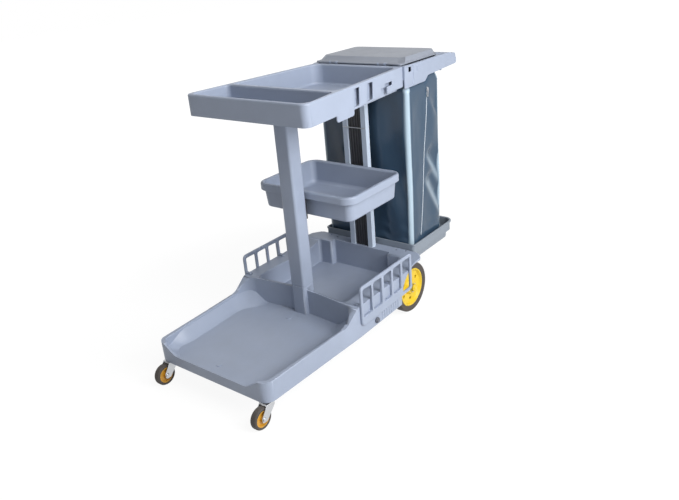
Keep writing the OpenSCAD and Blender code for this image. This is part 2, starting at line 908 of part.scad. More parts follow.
module post_far() {
    color([0.45, 0.49, 0.56])
    post();
}

module post_near() {
    color([0.45, 0.49, 0.56])
    mirror([0, 1, 0])
        post();
}

module back_panel() {
    half = post_y - post_w / 2;
    color([0.10, 0.10, 0.11]) {
        box(post_x - 2, post_x + 3, -half, half, cross_z, rear_under - 18);
        for (i = [-2 : 2])
            box(post_x - 6, post_x - 1, i * 12 - 2, i * 12 + 2, cross_z, rear_under - 18);
    }
}

module post_wire() {
    color([0.62, 0.63, 0.65])
    rod_y(post_front - wire_r - 0.05, -post_y - 9, post_y + 9, wire_z, wire_r);
}

module mid_outline(inset) {
    plan([[-mid_len / 2 + inset, -mid_w / 2 + inset], [mid_len / 2 - inset, -mid_w / 2 + inset]],
         [mid_r - inset, mid_r - inset]);
}

module mid_taper(inset, z0, z1) {
    len = mid_len - 2 * inset - 2 * mid_draft;
    wid = mid_w - 2 * inset - 2 * mid_draft;
    grow = mid_draft * (z1 - z0) / mid_h;
    translate([0, 0, z0])
        linear_extrude(height = z1 - z0, slices = 1, $fn = 4, scale = [1 + 2 * grow / len, 1 + 2 * grow / wid])
            mid_outline(inset + mid_draft);
}

module mid_tray() {
    z0 = mid_z - mid_h;
    color([0.36, 0.41, 0.50])
    translate([mid_x0 + mid_len / 2, 0, 0])
        difference() {
            union() {
                slab(mid_under, mid_z)
                    difference() {
                        mid_outline(0);
                        mid_outline(3);
                    }
                slab(mid_z - 4, mid_z)
                    mid_outline(0);
                mid_taper(mid_rim_w, z0, mid_z - 1);
            }
            mid_taper(mid_rim_w + 4, z0 + 4, mid_z + 1);
        }
}

module tray_bracket() {
    color([0.10, 0.10, 0.11]) {
        box(column_x1, column_x1 + 4, -22, 22, mid_z - mid_h - 6, mid_under - fit);
        box(column_x1, mid_x0 + 2.6, -22, 22, mid_under - 5, mid_under - fit);
        for (y = [-22, 18])
            box(column_x1, mid_x0 + 2.6, y, y + 4, mid_z - mid_h - 6, mid_under - fit);
    }
}

module tray_hook() {
    x_lip = mid_x0 + mid_len;
    box(x_lip - 2.6, post_front, post_y - 9, post_y + 9, mid_under - 6, mid_under - fit);
    box(post_front - 4, post_front, post_y - 9, post_y + 9, mid_under - 40, mid_under - fit);
}

module tray_hooks() {
    color([0.10, 0.10, 0.11])
    two_sides()
        tray_hook();
}

module fence() {
    x1 = fence_x0 + fence_len;
    y0 = bin_w / 2;
    wall_xz(y0, y0 + fence_t)
        difference() {
            rect(fence_x0, fence_low_z, x1, fence_top_z, 16, 6);
            for (i = [0 : gap_n - 1]) {
                g = fence_x0 + bar_w + i * bar_pitch;
                rect(g, i == gap_n - 1 ? fence_low_z + bar_w : sill_z, g + gap_w, fence_top_z - top_bar_w, 5, 3);
            }
        }
    clip_places() {
        box(0, bar_w, y0 - 22, y0 + 1, rim_z + fit, rim_z + 6);
        box(0, bar_w, y0 - 22, y0 - 16, rim_z - 16, rim_z + 6);
    }
}

module fence_far() {
    color([0.36, 0.41, 0.50])
    fence();
}

module fence_near() {
    color([0.36, 0.41, 0.50])
    mirror([0, 1, 0])
        fence();
}

module side_bumpers() {
    color([0.20, 0.21, 0.24])
    two_sides() {
        rod_y(bumper_x, bin_w / 2, bin_w / 2 + 6, skirt_z + bumper_up, bumper_r);
        rod_y(bumper_x, bin_w / 2 + 5, bin_w / 2 + fence_t, skirt_z + bumper_up, bumper_r - 3);
    }
}

module at_rear_wheel(side) {
    translate([wheel_x, side * wheel_y, wheel_r])
        rotate([-90 * side, 0, 0])
            children();
}

hub_r = wheel_r * 0.77;

module rear_tyre() {
    rotate_extrude($fn = 96)
        polygon(rounded([[hub_r, 3], [wheel_r - 4, 0], [wheel_r, 6], [wheel_r, wheel_w - 6],
                         [wheel_r - 4, wheel_w], [hub_r, wheel_w - 3]],
                        [0, 4, 4, 4, 4, 0], 4));
}

module rear_hub() {
    bore = axle_r + 4.05;
    difference() {
        rotate_extrude($fn = 96)
            polygon([[bore, 2], [24, 2], [24, wheel_w / 2 - 4], [hub_r - 8, wheel_w / 2 - 4], [hub_r - 8, 4],
                     [hub_r - 0.1, 4], [hub_r - 0.1, wheel_w - 4], [hub_r - 6, wheel_w - 3],
                     [hub_r - 12, wheel_w / 2 + 6], [32, wheel_w / 2 + 4], [24, wheel_w - 2], [bore, wheel_w - 2]]);
        for (a = [30 : 60 : 330])
            rotate([0, 0, a])
                rod_z(hub_r - 26, 0, -1, wheel_w + 1, 7);
    }
    for (a = [0 : 60 : 300])
        rotate([0, 0, a])
            box(22, hub_r - 7, -2, 2, 6, wheel_w / 2 - 3);
}

module rear_bush() {
    difference() {
        cylinder(h = wheel_w, r = axle_r + 4);
        translate([0, 0, -1])
            cylinder(h = wheel_w + 2, r = axle_r + run);
    }
}

module tyre_near() {
    color([0.09, 0.08, 0.08])
    at_rear_wheel(-1)
        rear_tyre();
}

module tyre_far() {
    color([0.09, 0.08, 0.08])
    at_rear_wheel(1)
        rear_tyre();
}

module hub_near() {
    color([0.92, 0.68, 0.06])
    at_rear_wheel(-1)
        rear_hub();
}

module hub_far() {
    color([0.92, 0.68, 0.06])
    at_rear_wheel(1)
        rear_hub();
}

module bush_near() {
    color([0.75, 0.75, 0.72])
    at_rear_wheel(-1)
        rear_bush();
}

module bush_far() {
    color([0.75, 0.75, 0.72])
    at_rear_wheel(1)
        rear_bush();
}

module rear_axle() {
    color([0.62, 0.63, 0.65])
    rod_y(wheel_x, -cap_y - 3, cap_y + 3, wheel_r, axle_r);
}

module washer(y0) {
    difference() {
        rod_y(wheel_x, y0, y0 + wheel_gap - 2 * fit, wheel_r, axle_r + 9);
        rod_y(wheel_x, y0 - 1, y0 + wheel_gap + 1, wheel_r, axle_r + 0.05);
    }
}

module axle_washers() {
    color([0.62, 0.63, 0.65])
    two_sides() {
        washer(rear_w / 2 + fit);
        washer(wheel_y + wheel_w + fit);
    }
}

module axle_caps() {
    color([0.92, 0.68, 0.06])
    two_sides()
        difference() {
            union() {
                rod_y(wheel_x, cap_y, cap_y + 6, wheel_r, axle_r + 7);
                rod_y(wheel_x, cap_y + 5, cap_y + 9, wheel_r, axle_r + 4);
            }
            rod_y(wheel_x, cap_y - 1, cap_y + 3, wheel_r, axle_r + 0.05);
        }
}

module caster_stem() {
    rod_z(caster_x, caster_y, crown_z - 4, floor_z - shell_t - 0.5, stem_r);
    rod_z(caster_x, caster_y, crown_z - 5, crown_z - fit, stem_r + 4);
}

module caster_cup() {
    difference() {
        union() {
            rod_z(caster_x, caster_y, crown_z + crown_t + fit, skirt_z - fit, 17);
            rod_z(caster_x, caster_y, skirt_z - 1, boss_z, 12);
        }
        rod_z(caster_x, caster_y, crown_z, boss_z + 1, stem_r + 0.05);
    }
}

module fork_leg() {
    polygon(rounded(
        [[caster_x - 18, crown_z + crown_t], [caster_x + 16, crown_z + crown_t], [caster_x + 16, crown_z - 10],
         [wheel_axis_x + 12, caster_r - 11], [wheel_axis_x - 9, caster_r - 11], [wheel_axis_x - 9, caster_r + 8]],
        [0, 0, 6, 8, 8, 8], 5));
}

module caster_fork() {
    difference() {
        union() {
            box(caster_x - 18, caster_x + 16, caster_y - fork_in - 1, caster_y + fork_in + 1,
                crown_z, crown_z + crown_t);
            wall_xz(caster_y + fork_in, caster_y + fork_in + fork_t)
                fork_leg();
            wall_xz(caster_y - fork_in - fork_t, caster_y - fork_in)
                fork_leg();
        }
        rod_z(caster_x, caster_y, crown_z - 1, crown_z + crown_t + 1, stem_r + run);
        rod_y(wheel_axis_x, caster_y - 30, caster_y + 30, caster_r, 4.05);
    }
}

module caster_axle() {
    rod_y(wheel_axis_x, caster_y - fork_in - fork_t - 2, caster_y + fork_in + fork_t + 2, caster_r, 4);
    for (s = [-1, 1])
        rod_y(wheel_axis_x, caster_y + s * (fork_in + fork_t + 2) - 2, caster_y + s * (fork_in + fork_t + 2) + 2,
              caster_r, 7);
}

module at_caster_wheel() {
    translate([wheel_axis_x, caster_y - caster_w / 2, caster_r])
        rotate([-90, 0, 0])
            children();
}

module caster_hub() {
    r = caster_r * 0.74;
    at_caster_wheel()
        rotate_extrude($fn = 72)
            polygon([[4 + run, -1.5], [10, -1.5], [10, caster_w / 2 - 5], [r - 5, caster_w / 2 - 5], [r - 4, 2],
                     [r - 0.1, 2], [r - 0.1, caster_w - 2], [r - 4, caster_w - 2], [r - 5, caster_w / 2 + 5],
                     [10, caster_w / 2 + 5], [10, caster_w + 1.5], [4 + run, caster_w + 1.5]]);
}

module caster_tyre() {
    r = caster_r * 0.74;
    at_caster_wheel()
        rotate_extrude($fn = 72)
            polygon(rounded([[r, 1], [caster_r - 3, 0], [caster_r, 5], [caster_r, caster_w - 5],
                             [caster_r - 3, caster_w], [r, caster_w - 1]],
                            [0, 3, 4, 4, 3, 0], 4));
}

module caster_stems() {
    color([0.62, 0.63, 0.65])
    two_sides()
        caster_stem();
}

module caster_cups() {
    color([0.14, 0.14, 0.15])
    two_sides()
        caster_cup();
}

module caster_fork_far() {
    color([0.62, 0.63, 0.65])
    caster_fork();
}

module caster_fork_near() {
    color([0.62, 0.63, 0.65])
    mirror([0, 1, 0])
        caster_fork();
}

module caster_axle_far() {
    color([0.62, 0.63, 0.65])
    caster_axle();
}

module caster_axle_near() {
    color([0.62, 0.63, 0.65])
    mirror([0, 1, 0])
        caster_axle();
}

module caster_hub_far() {
    color([0.72, 0.42, 0.06])
    caster_hub();
}

module caster_hub_near() {
    color([0.72, 0.42, 0.06])
    mirror([0, 1, 0])
        caster_hub();
}

module caster_tyre_far() {
    color([0.09, 0.08, 0.08])
    caster_tyre();
}

module caster_tyre_near() {
    color([0.09, 0.08, 0.08])
    mirror([0, 1, 0])
        caster_tyre();
}

place() base();
place() column();
place() column_screws();
place() top_tray();
place() rear_frame();
place() frame_screws();
place() lid();
place() lid_pins();
place() bag_ring();
place() bag_collar();
place() bag();
place() bag_zip();
place() zip_slider();
place() bag_tray();
place() bag_tray_screws();
place() post_near();
place() post_far();
place() back_panel();
place() post_wire();
place() mid_tray();
place() tray_bracket();
place() tray_hooks();
place() fence_near();
place() fence_far();
place() side_bumpers();
place() rear_axle();
place() axle_washers();
place() axle_caps();
place() tyre_near();
place() tyre_far();
place() hub_near();
place() hub_far();
place() bush_near();
place() bush_far();
place() caster_stems();
place() caster_cups();
place() caster_fork_near();
place() caster_fork_far();
place() caster_axle_near();
place() caster_axle_far();
place() caster_hub_near();
place() caster_hub_far();
place() caster_tyre_near();
place() caster_tyre_far();
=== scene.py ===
# %% [markdown]
# # A grey janitor cart
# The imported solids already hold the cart's sizes, joints and collision shapes. This lesson dresses them:
# it copies the mouldings and rounds their edges, sews a waste bag, and gives every part a finish.
# The frame comes first, because every later piece is placed by it and rides on one of its bodies.

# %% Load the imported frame
import json
import math
import bpy
import bmesh
from mathutils import Matrix, Vector, noise
from mathutils.bvhtree import BVHTree
from mathutils.geometry import intersect_point_line
from mathutils.kdtree import KDTree


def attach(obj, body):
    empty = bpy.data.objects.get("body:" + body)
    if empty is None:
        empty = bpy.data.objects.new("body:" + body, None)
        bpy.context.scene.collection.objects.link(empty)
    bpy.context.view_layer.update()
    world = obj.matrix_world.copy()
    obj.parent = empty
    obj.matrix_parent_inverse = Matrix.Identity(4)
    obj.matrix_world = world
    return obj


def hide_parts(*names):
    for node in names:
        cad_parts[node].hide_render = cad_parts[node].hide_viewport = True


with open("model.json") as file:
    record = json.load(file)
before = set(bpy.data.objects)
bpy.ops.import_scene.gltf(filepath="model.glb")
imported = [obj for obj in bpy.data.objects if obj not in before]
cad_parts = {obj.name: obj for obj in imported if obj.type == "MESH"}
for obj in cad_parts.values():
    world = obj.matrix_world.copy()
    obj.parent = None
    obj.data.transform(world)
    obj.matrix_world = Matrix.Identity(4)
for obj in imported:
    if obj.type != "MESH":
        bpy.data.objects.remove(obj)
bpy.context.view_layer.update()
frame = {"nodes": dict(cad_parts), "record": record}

BODY_OF = {}
for body, nodes in frame["record"]["behaviour"]["bodies"].items():
    for node in nodes:
        BODY_OF[node] = body

# %% [markdown]
# The photograph looks down on the cart from its front left corner. The camera's place and turn were
# worked out from the straight edges of the trays and the base, so the render can be laid over the photo.
# Sizes below are millimetres from the platform's front edge, and `at` turns them into the frame's metres.

# %% Camera
MIDDLE = 0.62325


def at(x, y, z):
    return Vector((x / 1000 - MIDDLE, y / 1000, z / 1000))


EYE = at(-1144.783, -1503.782, 1330.674)
YAW, PITCH, ROLL = (math.radians(a) for a in (-51.14468, -24.05681, -4.70493))
SENSOR_WIDE, LENS, SIGHT = 36, 35.547, 60
look = Vector((-math.sin(YAW) * math.cos(PITCH), math.cos(YAW) * math.cos(PITCH), math.sin(PITCH)))
level = Vector((math.cos(YAW), math.sin(YAW), 0))
upright = level.cross(look)
side = level * math.cos(ROLL) + upright * math.sin(ROLL)
crown = upright * math.cos(ROLL) - level * math.sin(ROLL)

camera = bpy.data.objects.new("Camera", bpy.data.cameras.new("Camera"))
camera.data.sensor_width = SENSOR_WIDE
camera.data.lens = LENS
camera.data.clip_end = SIGHT
turn = Matrix((side, crown, -look)).transposed().to_4x4()
camera.matrix_world = Matrix.Translation(EYE) @ turn
bpy.context.scene.collection.objects.link(camera)
bpy.context.scene.camera = camera
print("camera at", [round(c, 3) for c in EYE])

# %% [markdown]
# The photo is lit from the near side by a broad soft lamp, with pale fill from all round, on plain white.
# Two area lamps side by side and a weak one above do the same. Their powers were set so that the faces of
# the cart come out as bright as in the photo.

# %% Lamps
AIM_HIGH = Vector((0, 0, 0.6))
AIM_LOW = Vector((0, 0, 0.4))


def lamp(name, place, aim, size, power):
    data = bpy.data.lights.new(name, "AREA")
    data.shape = "DISK"
    data.size = size
    data.energy = power
    obj = bpy.data.objects.new(name, data)
    obj.location = place
    obj.rotation_euler = (aim - place).to_track_quat("-Z", "Y").to_euler()
    bpy.context.scene.collection.objects.link(obj)


lamp("key_lamp", Vector((-0.1, -2.5, 1.6)), aim=AIM_HIGH, size=1.3, power=63)
lamp("side_lamp", Vector((-0.9, -2.2, 2.6)), aim=AIM_HIGH, size=1.3, power=36)
lamp("top_lamp", Vector((0.5, 0.3, 3.2)), aim=AIM_LOW, size=2.4, power=15)
print("lamps", len(bpy.data.lights))

# %% [markdown]
# The world gives the fill. A bright world would flood the cart, and a weak one would make a grey backdrop.
# So it is white only to the camera and in reflections, and all other rays meet the weak fill.

# %% Even world
FILL = 0.22


def add(tree, kind, values=None, **settings):
    node = tree.nodes.new(kind)
    for key, value in settings.items():
        setattr(node, key, value)
    for key, value in (values or {}).items():
        node.inputs[key].default_value = value
    return node


def wire(tree, *pairs):
    for start, end in pairs:
        tree.links.new(start, end)


world = bpy.data.worlds.new("Studio")
bpy.context.scene.world = world
world.use_nodes = True
tree = world.node_tree
background = tree.nodes["Background"]
background.inputs["Color"].default_value = (1, 1, 1, 1)
path = add(tree, "ShaderNodeLightPath")
seen = add(tree, "ShaderNodeMath", operation="MAXIMUM")
strength = add(tree, "ShaderNodeMapRange", {"To Min": FILL, "To Max": 1.0})
wire(tree, (path.outputs["Is Camera Ray"], seen.inputs[0]), (path.outputs["Is Glossy Ray"], seen.inputs[1]),
     (seen.outputs[0], strength.inputs["Value"]),
     (strength.outputs["Result"], background.inputs["Strength"]))
print("fill", FILL)

# %% [markdown]
# The ground is a large sheet that glows white in the same way. Under the cart it shows a little less of that
# white and more of a matt grey, so that a soft shadow is left there.

# %% Ground
GROUND_SIZE, GROUND_GLOW = 14, 1.07
GROUND_GREY = (0.8, 0.8, 0.8, 1)
SHADOW_FROM, SHADOW_TO, SHADOW_WHITE = 0.7, 1.9, 0.86

floor_bm = bmesh.new()
bmesh.ops.create_grid(floor_bm, x_segments=1, y_segments=1, size=GROUND_SIZE)
floor_mesh = bpy.data.meshes.new("floor")
floor_bm.to_mesh(floor_mesh)
floor_bm.free()
floor = bpy.data.objects.new("floor", floor_mesh)
bpy.context.scene.collection.objects.link(floor)

pale = bpy.data.materials.new("pale_floor")
pale.use_nodes = True
tree = pale.node_tree
tree.nodes.remove(tree.nodes["Principled BSDF"])
matt = add(tree, "ShaderNodeBsdfDiffuse", {"Color": GROUND_GREY})
glow = add(tree, "ShaderNodeEmission", {"Strength": GROUND_GLOW})
path = add(tree, "ShaderNodeLightPath")
seen = add(tree, "ShaderNodeMath", operation="MAXIMUM")
white = add(tree, "ShaderNodeMath", operation="MULTIPLY")
spot = add(tree, "ShaderNodeTexCoord")
away = add(tree, "ShaderNodeVectorMath", operation="LENGTH")
fade = add(tree, "ShaderNodeMapRange", interpolation_type="SMOOTHSTEP",
           values={"From Min": SHADOW_FROM, "From Max": SHADOW_TO, "To Min": SHADOW_WHITE, "To Max": 1.0})
blend = add(tree, "ShaderNodeMixShader")
wire(tree, (path.outputs["Is Camera Ray"], seen.inputs[0]), (path.outputs["Is Glossy Ray"], seen.inputs[1]),
     (spot.outputs["Object"], away.inputs[0]), (away.outputs["Value"], fade.inputs["Value"]),
     (seen.outputs[0], white.inputs[0]), (fade.outputs["Result"], white.inputs[1]),
     (white.outputs[0], blend.inputs["Fac"]), (matt.outputs[0], blend.inputs[1]),
     (glow.outputs[0], blend.inputs[2]), (blend.outputs[0], tree.nodes["Material Output"].inputs["Surface"]))
floor.data.materials.append(pale)
print("ground", pale.name)

# %% [markdown]
# Moulded plastic is never one flat colour. The mould leaves a fine pebble grain, the melt leaves faint
# clouds of tone, handling leaves scuffs, and edges rub paler. Each effect is one node group that reads a
# position and puts out a mask or a height, so every finish can use it with its own values.

# %% Shared effects
def effect(name, inputs, outputs):
    tree = bpy.data.node_groups.new(name, "ShaderNodeTree")
    for key, kind, value in inputs:
        socket = tree.interface.new_socket(key, in_out="INPUT", socket_type="NodeSocket" + kind)
        if kind == "Float":
            socket.default_value = value
    for key in outputs:
        tree.interface.new_socket(key, in_out="OUTPUT", socket_type="NodeSocketFloat")
    return tree, add(tree, "NodeGroupInput"), add(tree, "NodeGroupOutput")


grain, entry, leave = effect("mould grain", [("Position", "Vector", None), ("Scale", "Float", 700.0)],
                             ["Height", "Clouds"])
fine = add(grain, "ShaderNodeTexNoise", {"Detail": 2.0, "Roughness": 0.55})
pebble = add(grain, "ShaderNodeTexVoronoi", feature="SMOOTH_F1")
mix = add(grain, "ShaderNodeMath", {1: 0.6}, operation="MULTIPLY_ADD")
cloud = add(grain, "ShaderNodeTexNoise", {"Scale": 7.0, "Detail": 3.0, "Roughness": 0.6})
wire(grain, (entry.outputs["Position"], fine.inputs["Vector"]),
     (entry.outputs["Position"], pebble.inputs["Vector"]),
     (entry.outputs["Scale"], fine.inputs["Scale"]), (entry.outputs["Scale"], pebble.inputs["Scale"]),
     (pebble.outputs["Distance"], mix.inputs[0]), (fine.outputs["Fac"], mix.inputs[2]),
     (mix.outputs[0], leave.inputs["Height"]), (entry.outputs["Position"], cloud.inputs["Vector"]),
     (cloud.outputs["Fac"], leave.inputs["Clouds"]))

wear, entry, leave = effect("edge wear", [("Position", "Vector", None), ("Radius", "Float", 0.003)],
                            ["Mask"])
round_over = add(wear, "ShaderNodeBevel", samples=4)
facing = add(wear, "ShaderNodeNewGeometry")
alike = add(wear, "ShaderNodeVectorMath", operation="DOT_PRODUCT")
wear_and_painted_sheen = add(wear, "ShaderNodeMapRange", {"From Min": 0.985, "From Max": 0.80})
patch = add(wear, "ShaderNodeTexNoise", {"Scale": 55.0, "Detail": 4.0})
some = add(wear, "ShaderNodeMapRange", {"From Min": 0.38, "From Max": 0.66})
both = add(wear, "ShaderNodeMath", operation="MULTIPLY")
wire(wear, (entry.outputs["Radius"], round_over.inputs["Radius"]),
     (round_over.outputs["Normal"], alike.inputs[0]), (facing.outputs["True Normal"], alike.inputs[1]),
     (alike.outputs["Value"], wear_and_painted_sheen.inputs["Value"]), (entry.outputs["Position"], patch.inputs["Vector"]),
     (patch.outputs["Fac"], some.inputs["Value"]), (wear_and_painted_sheen.outputs["Result"], both.inputs[0]),
     (some.outputs["Result"], both.inputs[1]), (both.outputs[0], leave.inputs["Mask"]))

scuffs, entry, leave = effect("scuffs", [("Position", "Vector", None)], ["Mask"])
stretch = add(scuffs, "ShaderNodeMapping", {"Scale": (9.0, 40.0, 130.0), "Rotation": (0.4, 0.2, 0.6)})
streak = add(scuffs, "ShaderNodeTexNoise", {"Scale": 1.0, "Detail": 5.0, "Roughness": 0.65})
keep = add(scuffs, "ShaderNodeMapRange", {"From Min": 0.52, "From Max": 0.78})
wire(scuffs, (entry.outputs["Position"], stretch.inputs["Vector"]),
     (stretch.outputs["Vector"], streak.inputs["Vector"]), (streak.outputs["Fac"], keep.inputs["Value"]),
     (keep.outputs["Result"], leave.inputs["Mask"]))

dust, entry, leave = effect("settled dust", [("Position", "Vector", None)], ["Mask"])
facing = add(dust, "ShaderNodeNewGeometry")
parts = add(dust, "ShaderNodeSeparateXYZ")
upward = add(dust, "ShaderNodeMapRange", {"From Min": 0.75, "From Max": 1.0})
drift = add(dust, "ShaderNodeTexNoise", {"Scale": 16.0, "Detail": 6.0, "Roughness": 0.7})
patchy = add(dust, "ShaderNodeMapRange", {"From Min": 0.42, "From Max": 0.75})
lying = add(dust, "ShaderNodeMath", operation="MULTIPLY")
wire(dust, (facing.outputs["True Normal"], parts.inputs["Vector"]),
     (parts.outputs["Z"], upward.inputs["Value"]),
     (entry.outputs["Position"], drift.inputs["Vector"]), (drift.outputs["Fac"], patchy.inputs["Value"]),
     (upward.outputs["Result"], lying.inputs[0]), (patchy.outputs["Result"], lying.inputs[1]),
     (lying.outputs[0], leave.inputs["Mask"]))
print("effects", [g.name for g in bpy.data.node_groups])

# %% [markdown]
# A finish starts from one colour, chosen so that the lit part looks as in the photo. Clouds make it a little
# darker or paler, scuffs and worn edges make it paler, and dust lies on faces that look up. Scuffs and dust
# also roughen the shine, and the grain is a bump of a few hundredths of a millimetre. Colours are given as
# they look on screen and made linear here.

# %% Moulded finishes
def shade(red, green, blue):
    tones = []
    for tone in (red, green, blue):
        part = tone / 255
        tones.append(part / 12.92 if part <= 0.04045 else ((part + 0.055) / 1.055) ** 2.4)
    return (*tones, 1)


def scaled(colour, factor):
    return (*(min(1, c * factor) for c in colour[:3]), 1)


def use(tree, group, position, values=None):
    node = add(tree, "ShaderNodeGroup", node_tree=group)
    tree.links.new(position, node.inputs["Position"])
    for key, value in (values or {}).items():
        node.inputs[key].default_value = value
    return node


def tint(tree, fac, amount, below, colour):
    strength = add(tree, "ShaderNodeMath", {1: amount}, operation="MULTIPLY")
    over = add(tree, "ShaderNodeMix", data_type="RGBA")
    over.inputs[7].default_value = colour
    wire(tree, (fac, strength.inputs[0]), (strength.outputs[0], over.inputs[0]), (below, over.inputs[6]))
    return over.outputs[2]


def finish(name):
    material = bpy.data.materials.new(name)
    material.use_nodes = True
    tree = material.node_tree
    place = add(tree, "ShaderNodeTexCoord")
    return material, tree, tree.nodes["Principled BSDF"], place.outputs["Object"]


CLOUDS, SCUFFED, ROUGHER = 0.11, 0.05, 0.14
SCUFF_PALER, EDGE_PALER = 1.5, 1.6
DUST_COLOUR = shade(176, 172, 164)


def moulded(name, colour, rough, scale=700.0, depth=0.00006, worn=0.25, dusty=0.08):
    material, tree, skin, place = finish(name)
    texture = use(tree, grain, place, {"Scale": scale})
    wear_and_painted_sheen = use(tree, wear, place)
    marks = use(tree, scuffs, place)
    fallen = use(tree, dust, place)
    clouds = add(tree, "ShaderNodeMix", data_type="RGBA")
    clouds.inputs[6].default_value = scaled(colour, 1 - CLOUDS)
    clouds.inputs[7].default_value = scaled(colour, 1 + CLOUDS)
    tree.links.new(texture.outputs["Clouds"], clouds.inputs[0])
    tone = tint(tree, marks.outputs["Mask"], SCUFFED, clouds.outputs[2], scaled(colour, SCUFF_PALER))
    tone = tint(tree, fallen.outputs["Mask"], dusty, tone, DUST_COLOUR)
    tone = tint(tree, wear_and_painted_sheen.outputs["Mask"], worn, tone, scaled(colour, EDGE_PALER))
    tree.links.new(tone, skin.inputs["Base Color"])
    gloss = add(tree, "ShaderNodeMapRange", {"To Min": rough, "To Max": rough + ROUGHER})
    sheen = add(tree, "ShaderNodeMath", operation="MAXIMUM")
    bump = add(tree, "ShaderNodeBump", {"Strength": 1.0, "Distance": depth})
    wire(tree, (marks.outputs["Mask"], sheen.inputs[0]), (fallen.outputs["Mask"], sheen.inputs[1]),
         (sheen.outputs[0], gloss.inputs["Value"]), (gloss.outputs["Result"], skin.inputs["Roughness"]),
         (texture.outputs["Height"], bump.inputs["Height"]), (bump.outputs["Normal"], skin.inputs["Normal"]))
    return material


FINISH = {
    "body": moulded("blue_grey_plastic", shade(150, 160, 179), 0.42),
    "lid": moulded("lid_plastic", shade(131, 137, 149), 0.40),
    "bag_tray": moulded("grey_plastic", shade(129, 138, 149), 0.44),
    "post": moulded("post_enamel", shade(192, 204, 220), 0.38, scale=1400.0, depth=0.00003),
    "dark_plastic": moulded("black_plastic", shade(50, 51, 56), 0.42, worn=0.15, dusty=0.12),
    "rubber": moulded("bumper_rubber", shade(92, 96, 106), 0.72, scale=1000.0, worn=0.1, dusty=0.15),
    "tyre": moulded("tyre_rubber", shade(70, 64, 60), 0.7, scale=520.0, depth=0.00012, worn=0.3, dusty=0.25),
    "yellow_hub": moulded("yellow_nylon", shade(220, 187, 36), 0.36, scale=900.0, worn=0.1),
    "amber_hub": moulded("amber_nylon", shade(198, 146, 44), 0.36, scale=900.0, worn=0.1),
    "nylon": moulded("white_nylon", shade(222, 220, 212), 0.4, scale=900.0, worn=0.0),
}
print("moulded finishes", sorted(FINISH))

# %% [markdown]
# The caster forks, axles and screws are zinc plated steel. Plating has a faint crystal mottle and fine
# drawn lines, so its roughness varies more than its colour does.

# %% Plated metal
CRYSTAL_SCALE, CRYSTAL_DEPTH = 420.0, 0.00003
CRYSTAL_DARK, CRYSTAL_PALE = 0.82, 1.12
DRAWN_ROUGHER = 0.22


def plated(name, colour, rough):
    material, tree, skin, place = finish(name)
    skin.inputs["Metallic"].default_value = 1.0
    marks = use(tree, scuffs, place)
    texture = use(tree, grain, place, {"Scale": CRYSTAL_SCALE})
    tone = add(tree, "ShaderNodeMix", data_type="RGBA")
    tone.inputs[6].default_value = scaled(colour, CRYSTAL_DARK)
    tone.inputs[7].default_value = scaled(colour, CRYSTAL_PALE)
    gloss = add(tree, "ShaderNodeMapRange", {"To Min": rough, "To Max": rough + DRAWN_ROUGHER})
    bump = add(tree, "ShaderNodeBump", {"Strength": 0.6, "Distance": CRYSTAL_DEPTH})
    wire(tree, (texture.outputs["Clouds"], tone.inputs[0]), (tone.outputs[2], skin.inputs["Base Color"]),
         (marks.outputs["Mask"], gloss.inputs["Value"]), (gloss.outputs["Result"], skin.inputs["Roughness"]),
         (texture.outputs["Height"], bump.inputs["Height"]), (bump.outputs["Normal"], skin.inputs["Normal"]))
    return material


FINISH["steel"] = plated("bright_steel", shade(200, 202, 206), 0.28)
FINISH["zinc"] = plated("zinc_plate", shade(205, 207, 210), 0.32)
print("metals", FINISH["steel"].name, FINISH["zinc"].name)

# %% [markdown]
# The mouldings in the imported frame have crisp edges, while real ones are rounded where the mould was.
# Modelling each again would risk its sizes, so a copy of the node is merged, its flat faces are joined,
# and its sharp edges are bevelled. Each edge gets the radius asked for, or less where a wall is thin,
# as a bevel weight, so that one modifier can round a rim by 5 mm and a slot by 1 mm.

# %% Copies of the mouldings
LARGEST = 0.030
SHARP = math.radians(38)
SHARP_OF = {"lid": math.radians(12)}
WELD, FLAT = 0.00002, math.radians(0.5)
PROBES = (0.15, 0.5, 0.85)


def merged_copy(node):
    bm = bmesh.new()
    bm.from_mesh(frame["nodes"][node].data)
    bmesh.ops.remove_doubles(bm, verts=bm.verts, dist=WELD)
    bmesh.ops.dissolve_limit(bm, angle_limit=FLAT, verts=bm.verts, edges=bm.edges)
    return bm


def room(edge, face):
    start, end = (v.co for v in edge.verts)
    along = (end - start).normalized()
    best = 1.0
    for part in PROBES:
        point = start.lerp(end, part)
        for other in face.edges:
            if other is edge:
                continue
            a, b = (v.co for v in other.verts)
            share = intersect_point_line(point, a, b)[1]
            gap = a.lerp(b, min(1, max(0, share))) - point
            if gap.length < best and abs(gap.dot(along)) < 0.5 * gap.length:
                best = gap.length
    return best


def piece(name, bm, material, body):
    mesh = bpy.data.meshes.new(name)
    bm.to_mesh(mesh)
    bm.free()
    obj = bpy.data.objects.new(name, mesh)
    bpy.context.scene.collection.objects.link(obj)
    mesh.materials.append(material)
    for face in mesh.polygons:
        face.use_smooth = True
    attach(obj, body)
    return obj


print("edges are rounded by", LARGEST, "m at most")

# %% [markdown]
# Where two roundings run into each other, a bevel folds over itself. Each small face of the rounded copy is
# held against the nearest face of the solid: one that is turned round or far away is a fault. Edges beside
# a fault are rounded less, the short ones first, and the copy is looked at again.

# %% Rounded copies of the mouldings
BESIDE = 0.012
SMALLEST = 2e-7
TURNED = -0.1
THIN_SHARE = 0.44
BEVEL_STEPS = 3
REACH_SHARE, REACH_LEAST = 0.6, 0.0005
MEND_PASSES = ((0.03, 0.3), (0.03, 0.0), (2, 0.5), (2, 0.3), (2, 0.0))


